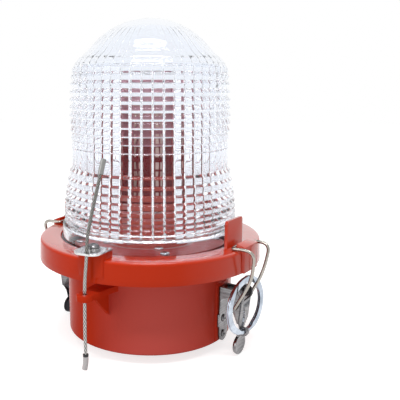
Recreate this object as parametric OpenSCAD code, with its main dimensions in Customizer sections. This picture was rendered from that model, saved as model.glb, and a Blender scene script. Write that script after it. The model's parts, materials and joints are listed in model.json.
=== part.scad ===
/* [Base] */
// Outer radius of the base wall
base_r = 68; // [64:0.5:72]
// Thickness of the base wall
base_wall = 4; // [3:0.5:5]
// Height of the base wall, from its lower edge to the flange
base_h = 62; // [58:1:70]
// Thickness of the base floor
floor_t = 5; // [4:0.5:7]
// Radius of the foot boss under the floor
foot_r = 50; // [46:1:54]
// Height of the foot boss
foot_h = 8; // [7:0.5:12]
// Thickness of the sealing flange
flange_t = 4; // [3:0.5:6]
// Radius of the conduit entry in the foot
conduit_r = 12; // [8:0.5:14]
// Radius of each mounting hole in the foot
bolt_r = 4.5; // [3:0.25:5.5]
// Diameter of the circle of mounting holes
bolt_pcd = 76; // [70:1:80]

/* [Collar] */
// Outer radius of the collar
collar_r = 90; // [89.5:0.5:92]
// Height of the collar
collar_h = 17; // [16.5:0.5:20]
// Thickness of the collar's top plate
collar_plate_t = 4; // [3:0.5:5]
// Thickness of the collar's skirt
skirt_t = 3; // [2.5:0.25:3.5]
// Room between the skirt and the lens flange for the clamp screws
clamp_room = 7; // [6.5:0.25:9]
// How far the collar's top plate reaches in over the lens flange
lens_seat = 7; // [5:0.25:9]
// Rounding of the collar's top edge
collar_edge = 2.5; // [1:0.5:3]
// Thickness of the upright guard tab behind each hook
tab_t = 2.4; // [2:0.2:4]
// Width of the guard tab
tab_w = 25.5; // [14:0.5:30]
// How far the guard tab is set out from the collar's bore
tab_set = 2.4; // [0.4:0.2:3]
// Height of the guard tab above the collar
tab_h = 21; // [16:1:26]
// Width of the hook wedge
hook_w = 22.5; // [14:0.5:26]
// Height of the hook wedge above the collar
hook_h = 5; // [4:0.5:6]

/* [Lens] */
// Thickness of the lens flange
lens_flange_t = 3.5; // [3:0.25:5]
// Thickness of the seal between the collar's bore and the smooth band of the lens
seal_leg_t = 1.5; // [1:0.1:2.5]
// Height of the smooth band above the collar
band_h = 10.6; // [8:0.2:14]
// How far the lowest prism ring is set in from the smooth band
ring_inset = 1.5; // [0.5:0.1:3]
// How far the plain belt is set in from the smooth band
belt_inset = 8.7; // [6:0.1:10]
// Height of the plain belt
belt_h = 15.8; // [10:0.2:22]
// How far the upper prism rings bulge beyond the belt
bulge = 1.5; // [0:0.1:3]
// Number of prism rings above the belt
upper_rings = 11; // [6:1:14]
// Height of each prism ring above the belt
upper_pitch = 5.8; // [5:0.1:6.5]
// Number of prism rings below the belt
lower_rings = 9; // [5:1:10]
// Height of the first prism ring below the belt
lower_pitch = 6.8; // [6:0.1:8]
// How much lower each next ring below the belt is
lower_step = 0.45; // [0:0.05:0.5]
// Depth of the step between two prism rings
ring_depth = 1.5; // [0.5:0.1:1.8]
// Number of flutes inside the lens
flutes = 48; // [24:1:60]
// Depth of each flute
flute_depth = 1.2; // [0.4:0.1:1.6]
// How far the lower flutes are set in from the face of the belt
foot_glass = 1.3; // [1:0.1:3]
// How far the upper flutes are set in from the face of the belt
top_glass = 4.8; // [4:0.1:7]
// Thickness of the glass in the dome
dome_wall = 3.5; // [2.5:0.25:5]
// How much smaller the ball of the dome is than the belt
dome_inset = 2.3; // [0:0.1:6]
// Height of the dome's top above the foot of the shoulder
dome_rise = 47; // [44:0.5:54]
// Radius of the rounded shoulder below the dome
shoulder_r = 22.8; // [22:0.2:24]

/* [Latches] */
// Direction of the plain latch, in degrees from the ringed one
left_turn = 185; // [170:1:200]
// Diameter of the bail wire
wire_d = 2.5; // [2:0.1:2.8]
// Radius of the lever's hinge pin
pin_r = 1.75; // [1.5:0.05:2]
// Height of the lever's hinge above the foot
pivot_z = 50; // [49:0.5:51]
// Distance from the lever's hinge down to the bail's hinge
bail_drop = 10; // [9:0.5:11]
// Thickness of the latch sheet steel
sheet_t = 1.5; // [1.2:0.1:1.6]
// Width of the latch plate
latch_plate_w = 13; // [12:0.5:14]
// Radius of the round thumb paddle
paddle_r = 7.7; // [6:0.1:8.5]
// Radius of the centre line of the safety ring
ring_r = 21.5; // [20:0.5:22]
// Diameter of the safety ring's section
ring_d = 3; // [2.4:0.1:3.2]

/* [Tether] */
// Diameter of the wire rope
rope_d = 2.5; // [2:0.1:3]
// Width of the tether plate
tether_w = 22; // [18:1:24]
// Length of the tether plate, outward from its inner edge
tether_l = 22; // [20:0.5:24]
// Thickness of the tether plate
tether_t = 1.5; // [1:0.1:2]
// Height of the raised pad under the tether plate
tether_pad_h = 5; // [4.5:0.5:6]
// Radius of the rounded outer corners of the tether plate
tether_corner = 8; // [3:0.5:8.5]
// How far the rope eye stands to the side of the tether plate's hole
eye_side = 2.35; // [0:0.05:4]
// Thickness of the rope eye's arm on the base
eye_t = 4.5; // [4:0.5:7]
// Thickness of the rib under the rope eye
rib_t = 2.5; // [2:0.25:4]

/* [Light source] */
// Gap between the chassis plate and the foot of the lens around it
chassis_gap = 5.5; // [4.5:0.25:8]
// Thickness of the chassis plate
chassis_t = 2; // [1.5:0.25:3]
// Height of the standoffs that carry the chassis
standoff_h = 69; // [66:0.5:70]
// Radius of the eight-sided column to its corners
column_r = 22; // [20:0.5:24]
// Height of the column above the chassis
column_h = 111; // [105:1:120]
// Thickness of the boards on the column
board_t = 1.6; // [1:0.1:2]
// Radius of the driver board
driver_r = 40; // [36:0.5:44]

/* [Clearances] */
// Gap between a screw or rivet and its hole
screw_gap = 0.1; // [0.05:0.05:0.3]
// Radial gap of a turning fit
turn_gap = 0.06; // [0.03:0.01:0.1]
// Gap between sheet pieces that move past each other
slide_gap = 0.4; // [0.3:0.05:0.6]
// Gap between the base flange and the collar's skirt
flange_gap = 1; // [0.5:0.1:2]
// Gap between the rope and the holes it runs through
rope_gap = 0.5; // [0.3:0.05:0.8]

/* [Hidden] */
$fn = 96;
eps = 0.01;
// Levels, counted up from the ground
wall_z = foot_h;
floor_z = foot_h + floor_t;
collar_z = foot_h + base_h;
collar_top = collar_z + collar_h;
seal_z = collar_z + flange_t;
gasket_t = 2;
lens_seal_t = 1.5;
plate_under = collar_top - collar_plate_t;
lens_flange_top = plate_under - lens_seal_t;
lens_z = lens_flange_top - lens_flange_t;
clamp_z = seal_z + gasket_t;
clamp_t = lens_z - clamp_z;
base_in_r = base_r - base_wall;
// Radii, counted in from the collar
skirt_in_r = collar_r - skirt_t;
flange_r = skirt_in_r - flange_gap;
lens_flange_r = skirt_in_r - clamp_room;
bore_r = lens_flange_r - lens_seat;
band_r = bore_r - seal_leg_t;
low_ring_r = band_r - ring_inset;
belt_r = band_r - belt_inset;
flute_foot_r = belt_r - foot_glass;
flute_top_r = belt_r - top_glass;
dome_ball_r = belt_r - dome_inset;
// Collar
bore_edge = 0.8;
skirt_draft = 0.6;
tab_r = bore_r + tab_set;
hook_r = collar_r - 5.3;
hook_lip = 2.5;
pad_out = 1.5;
clamp_screw_r = 1.9;
clamp_screw_ring = (lens_flange_r + skirt_in_r) / 2;
clamp_boss_r = clamp_room / 2 - 0.7;
clamp_count = 8;
clamp_lip = 3;
clamp_in_r = bore_r - clamp_lip;
// Lens levels and radii
band_top = collar_top + band_h;
lower_h = lower_rings * lower_pitch - lower_step * lower_rings * (lower_rings - 1) / 2;
belt_z = band_top + lower_h;
belt_top = belt_z + belt_h;
rings_top = belt_top + upper_rings * upper_pitch;
waist = low_ring_r - belt_r - 1.8;
waist_curve = 2.4;
shoulder_z = rings_top - 11.2;
shoulder_c = [belt_r - shoulder_r, shoulder_z];
dome_top = shoulder_z + dome_rise;
dome_c = [0, dome_top - dome_ball_r];
lens_foot_in = band_r - 5.5;
flute_z = band_top - 2.6;
flute_top = rings_top - 5.2;
// Latch, in its own plane: distance from the lamp's axis and height
plate_r = base_r + 0.6;
plate_face = plate_r + sheet_t;
pivot_in = 5.2;
pivot = [collar_r - pivot_in, pivot_z];
bail_pin = pivot + [-1.3, -bail_drop];
ear_end_r = pin_r + 1.85;
ear_t = sheet_t;
ear_out = latch_plate_w / 2;
lever_in = ear_out + slide_gap;
lever_t = 1.3;
lever_out = lever_in + lever_t;
wire_r = wire_d / 2;
hook_clear = 0.45;
bar = [hook_r - wire_r - 0.95, collar_top + hook_clear + wire_r];
leg_y = lever_out + wire_r + slide_gap;
leg_top_y = max(hook_w, tab_w) / 2 + wire_r + 0.35;
bail_knee = [collar_r + 7.5, collar_z - 4];
bail_elbow = [collar_r + 10.5, bar[1]];
neck_z = pivot_z - 28;
neck_r = pivot[0] + 0.1;
paddle_z = paddle_r + 0.7;
paddle_face = pivot[0] - 2.2;
paddle_t = 1.6;
neck_w = 6.4;
ring_plane = pivot[0] + 3.5;
ring_eye = [ring_plane, neck_z - 2.3];
ring_mid = ring_eye + [0, ring_r];
ring_eye_hole = ring_d / 2 + 0.35;
ring_eye_r = ring_eye_hole + 1.35;
ring_eye_w = 3.2;
rivet_z = [14, 27];
rivet_r = 2;
rivet_head_r = 3.2;
rivet_head_t = 1.3;
rivet_in_r = base_in_r + 1.2;
latch_low = foot_h + 0.5;
latch_top = pivot_z + 4;
latch_pad_w = 18;
latch_pad_top = latch_top + 2;
// Tether
tether_turn = -83.5;
tether_z = collar_top + tether_pad_h;
tether_in = bore_r + 5;
tether_out = tether_in + tether_l;
rope_r = rope_d / 2;
rope_at = collar_r + 4.7;
rope_hole_r = rope_r + rope_gap;
tether_screw_at = tether_in + 8.5;
tether_screw_r = 2.5;
washer_t = 1;
washer_r = 5;
eye_top = collar_z - 7.5;
eye_r = 6;
eye_root = 10;
rib_low = eye_top - eye_t - 21;
rib_out = base_r + 20;
band_len = 1.6;
sleeve_len = 10;
ferrule_len = 11;
ferrule_r = rope_r + 0.7;
// Rope points, in the tether's own plane: outward, sideways and up
ROPE_UP = [[94.7, 0, 92.75], [94.7, 0, 96], [94.3, 0.1, 101], [93.2, 0.4, 107], [91.6, 0.8, 113],
           [89.8, 1.2, 119], [87.8, 1.6, 125], [85.7, 2, 131], [83.5, 2.4, 137], [81.4, 2.8, 143],
           [80.4, 3, 146]];
ROPE_DOWN = [[94.7, 0, 92.75], [94.7, -0.4, 88], [94.8, -1, 82], [95, -1.5, 76], [95, -2, 70],
             [95, -2.3, 63], [95, -2.4, 56], [95, -2.5, 50], [95, -2.6, 44], [95, -2.7, 38],
             [95, -2.75, 32], [94.9, -2.8, 27], [94.8, -2.8, 22], [94.7, -2.8, 17]];
// Light source
chassis_z = floor_z + standoff_h;
standoff_r = 4;
standoff_margin = 0.5;
wall_margin = 3;
chassis_r = lens_foot_in - chassis_gap;
standoff_ring = min(chassis_r, base_in_r - wall_margin) - standoff_r - standoff_margin;
post_count = 4;
m4_r = 2;
m4_head_r = 3.6;
m4_head_t = 2.4;
m4_nut_t = 3.2;
column_z = chassis_z + chassis_t;
column_foot_r = column_r + 9;
column_foot_t = 3;
column_flat = column_r * cos(22.5);
column_top = column_z + column_h;
column_bore = 12;
column_screw_ring = column_r + 5.5;
cap_t = 3;
board_w = 2 * column_r * sin(22.5) - 2;
board_margin = 6;
board_low = 42;
led_w = 4;
led_h = 8;
led_out = 1.2;
led_rows = 4;
led_pitch = 12;
led_mid = belt_z + belt_h / 2;
driver_gap = 14;
driver_t = 1.6;
driver_z = chassis_z - driver_gap - driver_t;
spacer_ring = driver_r - 5;
terminal = [36, 13, 15];
terminal_y = 40;
terminal_ways = 3;
earth_at = [-46, 0];
choke = [22, 22, 18];
can_r = 6;
can_h = 20;
can_at = 14;
chip = [16, 10, 7];
chip_at = 4;
lead_r = 1.5;
// Lead points, from the top of the driver board up into the column
driver_top = driver_z + driver_t;
LEAD_RISE = [[6, 0, 0], [6, 0, 4], [6.2, 0, 9], [7, 0, 15], [8, 0, 21], [9, 0, 26], [9.9, 0, 31],
             [10.4, 0, 35]];
LEAD = [for (p = LEAD_RISE) p + [0, 0, driver_top]];

// Shared shapes

// Places its children in a latch's plane, with x outward from the lamp's axis
module at_latch(side) {
    rotate([0, 0, side == "right" ? 0 : left_turn]) children();
}

// Places its children in the tether's plane, with x outward from the lamp's axis
module at_tether() {
    rotate([0, 0, tether_turn]) children();
}

// Extrudes a profile drawn as outward and up, centred across the plane
module across(width, from = 0) {
    translate([0, from, 0]) rotate([90, 0, 0]) linear_extrude(width, center = true) children();
}

// A round bar across the plane at a point given as outward and up
module cross_bar(at, r, length, from = 0) {
    translate([at[0], from, at[1]]) rotate([90, 0, 0]) cylinder(r = r, h = length, center = true);
}

// A round bar pointing outward
module out_bar(z, r, from, to) {
    translate([from, 0, z]) rotate([0, 90, 0]) cylinder(r = r, h = to - from);
}

module post_ring(radius, count, turn = 0) {
    for (i = [0:count - 1])
        rotate([0, 0, turn + i * 360 / count]) translate([radius, 0, 0]) children();
}

module washer_ring(r_in, r_out, z0, z1) {
    rotate_extrude() translate([r_in, z0]) square([r_out - r_in, z1 - z0]);
}

// A pan-head screw whose head sits on the level z0 and whose shank goes down
module pan_screw(z0, shank_r, head_r, head_t, length) {
    translate([0, 0, z0 - length]) cylinder(r = shank_r, h = length + eps);
    difference() {
        translate([0, 0, z0]) rotate_extrude() polygon([
            [0, 0], [head_r, 0], [head_r, head_t * 0.5], [head_r * 0.8, head_t * 0.85],
            [head_r * 0.45, head_t], [0, head_t]]);
        for (turn = [0, 90])
            rotate([0, 0, turn]) translate([0, 0, z0 + head_t])
                cube([head_r, head_r * 0.22, head_t * 0.9], center = true);
    }
}

function unit(v) = v / norm(v);
function ahead(p, i) = unit(p[min(i + 1, len(p) - 1)] - p[max(i - 1, 0)]);
// A side direction carried along a path without twisting
function sides(p, n, i = 0) = i == len(p) ? [] :
    let (t = ahead(p, i), m = unit(n - (n * t) * t)) concat([m], sides(p, m, i + 1));

// A round tube along a list of points
module tube(p, r, count = 8, side = [0.1, 1, 0.05]) {
    m = sides(p, side);
    last = (len(p) - 1) * count;
    points = [for (i = [0:len(p) - 1], k = [0:count - 1])
        let (a = 360 * k / count, n = cross(ahead(p, i), m[i])) p[i] + r * (cos(a) * m[i] + sin(a) * n)];
    walls = [for (i = [0:len(p) - 2], k = [0:count - 1])
        let (a = i * count + k, b = i * count + (k + 1) % count)
            each [[a, a + count, b], [b, a + count, b + count]]];
    ends = [for (k = [1:count - 2]) each [[0, k, k + 1], [last, last + k + 1, last + k]]];
    polyhedron(points, concat(walls, ends));
}

// Points of a smooth bend at corner b between a and c, starting a given length before the corner
function bend(a, b, c, length, steps = 5) =
    let (p = b + length * unit(a - b), q = b + length * unit(c - b))
    [for (i = [0:steps]) let (s = i / steps) (1 - s) * (1 - s) * p + 2 * s * (1 - s) * b + s * s * q];

// The upper of the two points where two circles meet
function circles_meet(a, ra, b, rb) =
    let (d = norm(b - a), u = (b - a) / d, x = (d * d + ra * ra - rb * rb) / (2 * d), y = sqrt(ra * ra - x * x))
    let (p = a + x * u + y * [-u[1], u[0]], q = a + x * u - y * [-u[1], u[0]]) p[1] > q[1] ? p : q;
function angle_of(c, p) = atan2(p[1] - c[1], p[0] - c[0]);
function arc(c, r, from, to, steps) =
    [for (i = [0:steps]) let (a = from + (to - from) * i / steps) c + r * [cos(a), sin(a)]];

// Base housing

module base_housing() color([0.72, 0.22, 0.13]) difference() {
    union() {
        base_shell();
        at_tether() rope_eye();
        for (side = ["right", "left"]) at_latch(side) latch_pad();
    }
    translate([0, 0, -eps]) cylinder(r = conduit_r, h = floor_z + 2 * eps);
    post_ring(bolt_pcd / 2, 4, 45) translate([0, 0, -eps]) cylinder(r = bolt_r, h = floor_z + 2 * eps);
    for (side = ["right", "left"], z = rivet_z)
        at_latch(side) out_bar(z, rivet_r + screw_gap, rivet_in_r, plate_r + 1);
    at_tether() translate([rope_at + 0.3, -eye_side, eye_top - eye_t - 1])
        cylinder(r = rope_hole_r, h = eye_t + 2);
    post_ring(standoff_ring, post_count, 45) translate([0, 0, floor_z - 3]) cylinder(r = m4_r, h = 4);
    translate([earth_at[0], earth_at[1], floor_z - 3]) cylinder(r = m4_r + 0.5, h = 4);
}

module base_shell() {
    edge = 2;
    rotate_extrude() polygon(concat(
        [[0, 0], [foot_r - edge, 0], [foot_r, edge], [foot_r, wall_z], [base_r - edge, wall_z]],
        arc([base_r - edge, wall_z + edge], edge, -90, 0, 6),
        [[base_r, collar_z], [flange_r, collar_z], [flange_r, seal_z], [base_in_r, seal_z],
         [base_in_r, floor_z], [0, floor_z]]));
}

module latch_pad() {
    translate([base_in_r + 1, -latch_pad_w / 2, wall_z + 2])
        cube([plate_r - base_in_r - 1, latch_pad_w, latch_pad_top - wall_z - 2]);
}

module rope_eye() {
    translate([0, 0, eye_top - eye_t]) linear_extrude(eye_t) {
        polygon([[base_r - 2, -eye_root], [base_r + 4, -eye_root + 2], [rope_at, -eye_side - eye_r + 0.5],
                 [rope_at, -eye_side + eye_r - 0.5], [base_r + 4, eye_root - 2], [base_r - 2, eye_root]]);
        translate([rope_at + 0.3, -eye_side]) circle(r = eye_r);
    }
    across(rib_t) polygon([[base_r - 1, rib_low], [rib_out, eye_top - eye_t + eps],
                           [base_r - 1, eye_top - eye_t + eps]]);
}

// Collar

module lens_collar() color([0.72, 0.22, 0.13]) difference() {
    union() {
        collar_shell();
        for (side = ["right", "left"]) at_latch(side) collar_hook();
        at_tether() tether_pad();
        post_ring(clamp_screw_ring, clamp_count, 22.5)
            translate([0, 0, lens_z]) cylinder(r = clamp_boss_r, h = plate_under - lens_z + eps);
    }
    post_ring(clamp_screw_ring, clamp_count, 22.5)
        translate([0, 0, lens_z - eps]) cylinder(r = clamp_screw_r, h = 8);
    at_tether() translate([tether_screw_at, 0, tether_z - 7]) cylinder(r = tether_screw_r, h = 8);
}

module collar_shell() {
    rotate_extrude() polygon(concat(
        [[bore_r, plate_under], [bore_r, collar_top - bore_edge], [bore_r + bore_edge, collar_top]],
        arc([collar_r - collar_edge, collar_top - collar_edge], collar_edge, 90, 0, 8),
        [[collar_r + skirt_draft, collar_z], [skirt_in_r, collar_z], [skirt_in_r, plate_under]]));
}

module collar_hook() {
    corner = 3;
    translate([tab_r, 0, collar_top - eps]) rotate([90, 0, 90]) linear_extrude(tab_t) {
        translate([-tab_w / 2, 0]) square([tab_w, tab_h - corner]);
        translate([-tab_w / 2 + corner, 0]) square([tab_w - 2 * corner, tab_h]);
        for (x = [-1, 1]) translate([x * (tab_w / 2 - corner), tab_h - corner]) circle(r = corner);
    }
    across(hook_w) polygon([
        [hook_r, collar_top - 1], [hook_r, collar_top + hook_h - 0.6], [hook_r + 0.6, collar_top + hook_h],
        [collar_r + pad_out, collar_top + hook_h - hook_lip], [collar_r + pad_out, collar_z],
        [collar_r - 1, collar_z], [collar_r - 2, collar_top - 1]]);
}

module tether_pad() {
    pad_w = tether_w - 2;
    translate([tether_in - 1, -pad_w / 2, collar_top - 1])
        cube([collar_r + 0.4 - tether_in + 1, pad_w, tether_pad_h + 1]);
    translate([collar_r - 2, -pad_w / 2, collar_z + 4]) cube([2.4, pad_w, collar_h - 4]);
}

// Lens

// Radius of the ring crests at a height: waisted below the belt, bulging and then shouldered above it
function low_crest(z) = low_ring_r - waist * pow((z - band_top) / lower_h, waist_curve);
function barrel(z) = belt_r + bulge * sin(180 * min(1, (z - belt_top) / (shoulder_z - belt_top)));
function on_shoulder(z) = shoulder_c[0] + sqrt(pow(shoulder_r, 2) - pow(max(0, z - shoulder_z), 2));
function high_crest(z) = z < shoulder_z ? barrel(z) : on_shoulder(z);
// Level of the top of the ring with this number, counted down from the belt
function low_level(i) = belt_z - i * lower_pitch + lower_step * i * (i - 1) / 2;

module lens() color([0.93, 0.96, 0.98, 0.35]) difference() {
    lens_outside();
    translate([0, 0, lens_z - eps]) cylinder(r = lens_foot_in, h = flute_z - lens_z + eps);
    translate([0, 0, flute_z - eps]) linear_extrude(belt_z - flute_z + eps) flute_outline(flute_foot_r);
    translate([0, 0, belt_z - eps]) linear_extrude(flute_top - belt_z + eps) flute_outline(flute_top_r);
    dome_inside();
}

module lens_outside() {
    meet = circles_meet(shoulder_c, shoulder_r, dome_c, dome_ball_r);
    last_ring = [on_shoulder(rings_top), rings_top];
    rotate_extrude() polygon(concat(
        [[0, lens_z], [lens_flange_r, lens_z], [lens_flange_r, lens_flange_top], [band_r, lens_flange_top],
         [band_r, band_top]],
        [for (i = [lower_rings - 1:-1:0])
            each [[low_crest(low_level(i + 1)) - ring_depth, low_level(i + 1)],
                  [low_crest(low_level(i)), low_level(i)]]],
        [[belt_r, belt_z], [belt_r, belt_top]],
        [for (i = [0:upper_rings - 1]) let (z = belt_top + i * upper_pitch)
            each [[high_crest(z) + eps, z], [high_crest(z + upper_pitch) - ring_depth, z + upper_pitch]]],
        arc(shoulder_c, shoulder_r, angle_of(shoulder_c, last_ring), angle_of(shoulder_c, meet), 10),
        arc(dome_c, dome_ball_r, angle_of(dome_c, meet) + 0.5, 90, 20)));
}

module flute_outline(r) {
    steps = 3;
    polygon([for (i = [0:flutes * steps - 1]) let (a = 360 * i / (flutes * steps), s = (i % steps) / steps)
        (r - flute_depth * sin(180 * s)) * [cos(a), sin(a)]]);
}

module dome_inside() {
    inner_r = flute_top_r - flute_depth - 0.2;
    ball_r = dome_ball_r - dome_wall;
    round_r = shoulder_r - dome_wall;
    meet = circles_meet(shoulder_c, round_r, dome_c, ball_r);
    start = shoulder_z + sqrt(pow(round_r, 2) - pow(inner_r - shoulder_c[0], 2));
    rotate_extrude() polygon(concat(
        [[0, flute_top - 1], [inner_r, flute_top - 1]],
        arc(shoulder_c, round_r, angle_of(shoulder_c, [inner_r, start]), angle_of(shoulder_c, meet), 6),
        arc(dome_c, ball_r, angle_of(dome_c, meet) + 0.5, 90, 14)));
}

// Seals and the ring that holds the lens in the collar

module lens_gasket() color([0.08, 0.08, 0.09]) rotate_extrude() polygon([
    [band_r + 0.05, lens_flange_top], [lens_flange_r, lens_flange_top], [lens_flange_r, plate_under],
    [bore_r, plate_under], [bore_r, collar_top - bore_edge], [band_r + 0.05, collar_top - bore_edge]]);

module base_gasket() color([0.08, 0.08, 0.09])
    washer_ring(clamp_in_r + 1, lens_flange_r - 1, seal_z, clamp_z);

module lens_clamp_ring() color([0.75, 0.75, 0.77]) difference() {
    washer_ring(clamp_in_r, clamp_screw_ring + clamp_boss_r, clamp_z, lens_z);
    post_ring(clamp_screw_ring, clamp_count, 22.5)
        translate([0, 0, clamp_z - 1]) cylinder(r = clamp_screw_r + screw_gap, h = clamp_t + 2);
}

module clamp_screws() color([0.7, 0.7, 0.72]) post_ring(clamp_screw_ring, clamp_count, 22.5)
    translate([0, 0, clamp_z]) {
        translate([0, 0, -1.2]) cylinder(r = clamp_boss_r - 0.1, h = 1.2);
        translate([0, 0, -eps]) cylinder(r = clamp_screw_r - screw_gap, h = clamp_t + 6);
    }

// Tether

module tether_plate() color([0.75, 0.75, 0.77]) at_tether() difference() {
    translate([0, 0, tether_z]) linear_extrude(tether_t) {
        translate([tether_in, -tether_w / 2]) square([tether_l - tether_corner, tether_w]);
        translate([tether_in, -tether_w / 2 + tether_corner])
            square([tether_l, tether_w - 2 * tether_corner]);
        for (y = [-1, 1])
            translate([tether_out - tether_corner, y * (tether_w / 2 - tether_corner)])
                circle(r = tether_corner);
    }
    translate([rope_at, 0, tether_z - 1]) cylinder(r = rope_hole_r, h = tether_t + 2);
    translate([tether_screw_at, 0, tether_z - 1]) cylinder(r = tether_screw_r + screw_gap, h = tether_t + 2);
}

module tether_washer() color([0.72, 0.72, 0.74]) at_tether()
    translate([tether_screw_at, 0, tether_z + tether_t])
        washer_ring(tether_screw_r + screw_gap, washer_r, 0, washer_t);

module tether_screw() color([0.72, 0.72, 0.74]) at_tether() translate([tether_screw_at, 0, 0])
    pan_screw(tether_z + tether_t + washer_t, tether_screw_r - screw_gap, 4.4, 2.9, tether_t + washer_t + 6);

module tether_rope_upper() color([0.62, 0.61, 0.58]) at_tether() tube(ROPE_UP, rope_r);

module tether_rope_lower() color([0.62, 0.61, 0.58]) at_tether() tube(ROPE_DOWN, rope_r);

// Places its children on the end of a rope, with z along the rope's last run
module at_rope_end(p) {
    t = ahead(p, len(p) - 1);
    translate(p[len(p) - 1]) rotate([0, acos(t[2]), atan2(t[1], t[0])]) children();
}

module tether_ferrule() color([0.7, 0.7, 0.7]) at_tether() at_rope_end(ROPE_UP)
    cylinder(r = ferrule_r, h = ferrule_len);

module tether_band() color([0.1, 0.1, 0.11]) at_tether() at_rope_end(ROPE_DOWN)
    cylinder(r = ferrule_r + 0.1, h = band_len);

module tether_sleeve() color([0.8, 0.79, 0.79]) at_tether() at_rope_end(ROPE_DOWN)
    translate([0, 0, band_len]) cylinder(r = ferrule_r, h = sleeve_len);

// Latches

module latch_plate(side) color([0.66, 0.66, 0.67]) at_latch(side) difference() {
    union() {
        latch_back();
        for (y = [-1, 1]) across(ear_t, y * (ear_out - ear_t / 2)) latch_ear();
    }
    cross_bar(pivot, pin_r, latch_plate_w + 2);
    for (z = rivet_z) out_bar(z, rivet_r + screw_gap, plate_r - 1, plate_face + 1);
}

module latch_back() {
    round_r = latch_plate_w / 2;
    wide = latch_plate_w + 4;
    translate([plate_r, 0, 0]) rotate([90, 0, 90]) linear_extrude(sheet_t) {
        translate([0, latch_low + round_r]) circle(r = round_r);
        translate([-round_r, latch_low + round_r]) square([latch_plate_w, latch_top - latch_low - round_r]);
        translate([-wide / 2, rivet_z[1] - 5]) square([wide, 10]);
    }
}

module latch_ear() {
    translate(pivot) circle(r = ear_end_r);
    polygon([[plate_face - 0.5, pivot[1] - 6], [plate_face + 6, pivot[1] - ear_end_r],
             [pivot[0], pivot[1] - ear_end_r], [pivot[0], pivot[1] + ear_end_r],
             [plate_face - 0.5, latch_top]]);
}

module latch_rivets(side) color([0.6, 0.6, 0.61]) at_latch(side) for (z = rivet_z) {
    out_bar(z, rivet_r, rivet_in_r, plate_face + eps);
    translate([plate_face, 0, z]) rotate([0, 90, 0]) rotate_extrude() polygon([
        [0, 0], [rivet_head_r, 0], [rivet_head_r * 0.85, rivet_head_t * 0.7], [0.9, rivet_head_t],
        [0.9, rivet_head_t * 0.4], [0, rivet_head_t * 0.4]]);
}

module latch_pin(side) color([0.55, 0.55, 0.56]) at_latch(side) cross_bar(pivot, pin_r, 2 * lever_out + 0.4);

module lever(side) color([0.68, 0.68, 0.69]) at_latch(side) difference() {
    union() {
        for (y = [-1, 1]) across(lever_t, y * (lever_in + lever_t / 2)) lever_cheek();
        lever_web();
        lever_paddle();
        if (side == "right") ring_lug();
    }
    cross_bar(pivot, pin_r + turn_gap, 2 * lever_out + 2);
    cross_bar(bail_pin, wire_r + turn_gap, 2 * lever_out + 2);
    if (side == "right") cross_bar(ring_eye, ring_eye_hole, ring_eye_w + 2);
}

module lever_cheek() {
    translate(pivot) circle(r = 5.8);
    translate(bail_pin) circle(r = 4.2);
    polygon([bail_pin + [-4.2, 0], pivot + [-5.8, 0], pivot + [5.6, -1], pivot + [4.1, -4],
             [neck_r + 1.8, neck_z + 6], [neck_r + 0.4, neck_z + 6], bail_pin + [-1.5, -4]]);
}

module lever_web() {
    intersection() {
        across(2 * lever_out) polygon([pivot + [2.8, -4], pivot + [4.1, -4], [neck_r + 1.3, neck_z - 0.5],
                                       [neck_r, neck_z - 0.5]]);
        translate([0, 0, neck_z - 1]) rotate([90, 0, 90]) linear_extrude(2 * pivot[0]) polygon([
            [-neck_w / 2, 0], [neck_w / 2, 0], [neck_w / 2, 1], [lever_out, 9], [lever_out, 40],
            [-lever_out, 40], [-lever_out, 9], [-neck_w / 2, 1]]);
    }
}

module lever_paddle() {
    across(neck_w) polygon([[neck_r, neck_z], [neck_r + 1.3, neck_z], [paddle_face + paddle_t, paddle_z + 5],
                            [paddle_face, paddle_z + 5]]);
    out_bar(paddle_z, paddle_r, paddle_face, paddle_face + paddle_t);
}

module ring_lug() {
    cross_bar(ring_eye, ring_eye_r, ring_eye_w);
    across(ring_eye_w) polygon([ring_eye + [0, -ring_eye_r], ring_eye + [0, ring_eye_r],
                                [neck_r + 0.6, ring_eye[1] + ring_eye_r],
                                [neck_r - 0.4, ring_eye[1] - ring_eye_r]]);
}

function leg_points(y) =
    let (start = [bail_pin[0], y * leg_y, bail_pin[1]], knee = [bail_knee[0], y * leg_y, bail_knee[1]])
    let (elbow = [bail_elbow[0], y * leg_top_y, bail_elbow[1]], corner = [bar[0], y * leg_top_y, bar[1]])
    concat([start + wire_r * unit(start - knee), start], bend(start, knee, elbow, 11),
           bend(knee, elbow, corner, 8, 6), bend(elbow, corner, [bar[0], 0, bar[1]], 2.5, 4));
function reversed(p) = [for (i = [len(p) - 1:-1:0]) p[i]];

module bail(side) color([0.66, 0.64, 0.6]) at_latch(side) {
    tube(concat(leg_points(-1), reversed(leg_points(1))), wire_r, 10, [1, 0.1, -0.5]);
    for (y = [-1, 1])
        cross_bar(bail_pin, wire_r, leg_y - lever_in + 0.2, y * (leg_y + lever_in - 0.2) / 2);
}

module safety_ring() color([0.82, 0.85, 0.9]) translate([ring_mid[0], 0, ring_mid[1]]) rotate([0, 90, 0])
    rotate_extrude() translate([ring_r, 0]) circle(r = ring_d / 2, $fn = 32);

module right_latch_plate() latch_plate("right");
module right_latch_rivets() latch_rivets("right");
module right_latch_pin() latch_pin("right");
module right_lever() lever("right");
module right_bail() bail("right");
module left_latch_plate() latch_plate("left");
module left_latch_rivets() latch_rivets("left");
module left_latch_pin() latch_pin("left");
module left_lever() lever("left");
module left_bail() bail("left");

// Light source and wiring

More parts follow.
